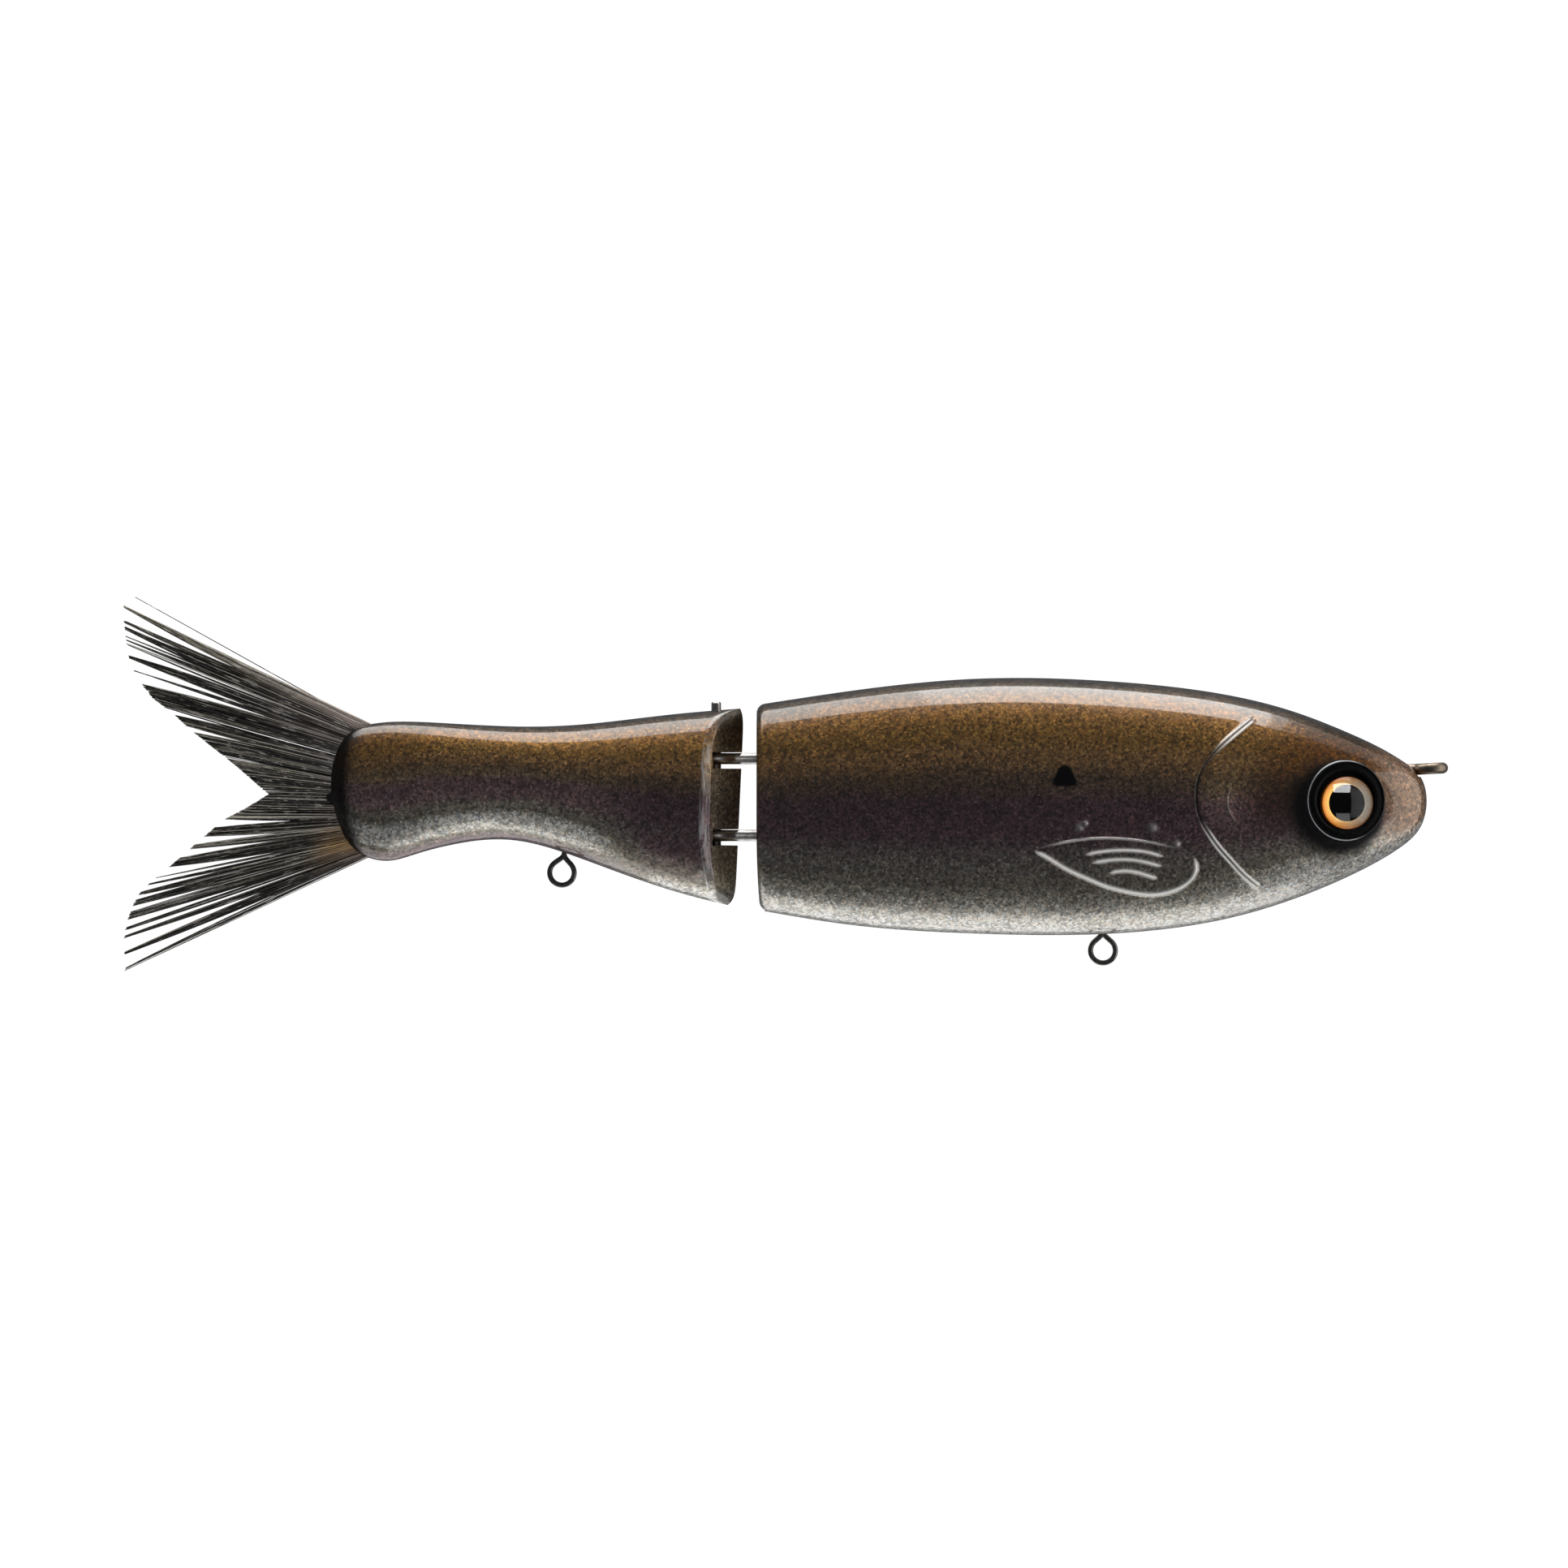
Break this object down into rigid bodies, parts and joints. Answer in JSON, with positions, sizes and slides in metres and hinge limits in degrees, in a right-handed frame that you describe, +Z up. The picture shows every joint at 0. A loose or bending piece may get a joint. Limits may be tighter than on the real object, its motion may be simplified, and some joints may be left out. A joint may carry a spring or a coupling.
{
  "type": "jointed swimbait",
  "caption": "Jointed glide swimbait: hollow moulded halves hinged on an upright pin, with a line tie, wire hook hangers, domed eyes and a forked bristle tail.",
  "frame": {"origin": "centre of the line tie's ring, at the nose", "axes": "+X towards the nose, along the body; +Y to the bait's left; +Z up, towards its back"},
  "size_m": [0.2326, 0.0286, 0.0658],
  "materials": {
    "body_paint": "brown-gold flake back fading to a silver belly, under clear gloss",
    "hardware": "polished stainless wire",
    "ballast": "plain turned slug",
    "eye_cup": "gloss black, silver rim",
    "eye_iris": "gold foil, black pupil",
    "eye_lens": "clear dome",
    "tail_resin": "set resin",
    "bristle": "dark brush fibres"
  },
  "bodies": {
    "front_section": {"front_shell_left": "body_paint", "front_shell_right": "body_paint", "line_tie_eye": "hardware", "upper_hinge_eye": "hardware", "lower_hinge_eye": "hardware", "belly_hook_hanger": "hardware", "fore_ballast": "ballast", "aft_ballast": "ballast", "left_eye_cup": "eye_cup", "left_eye_iris": "eye_iris", "left_eye_lens": "eye_lens", "right_eye_cup": "eye_cup", "right_eye_iris": "eye_iris", "right_eye_lens": "eye_lens"},
    "rear_section": {"rear_shell_left": "body_paint", "rear_shell_right": "body_paint", "hinge_pin": "hardware", "rear_hook_hanger": "hardware", "rear_ballast": "ballast", "tail_root": "tail_resin"},
    "bristle_tail": {"tail_upper_tuft": "bristle", "tail_lower_tuft": "bristle"}
  },
  "joints": [
    {"name": "body_hinge", "type": "hinge", "parent": "front_section", "child": "rear_section", "pos_m": [-0.1253, 0, 0], "axis": [0, 0, 1], "range_deg": [-45, 45]},
    {"name": "tail_sway", "type": "hinge", "parent": "rear_section", "child": "bristle_tail", "pos_m": [-0.1864, 0, 0], "axis": [0, 0, 1], "range_deg": [-25, 25], "stiffness_Nm_per_rad": 0.01}
  ]
}
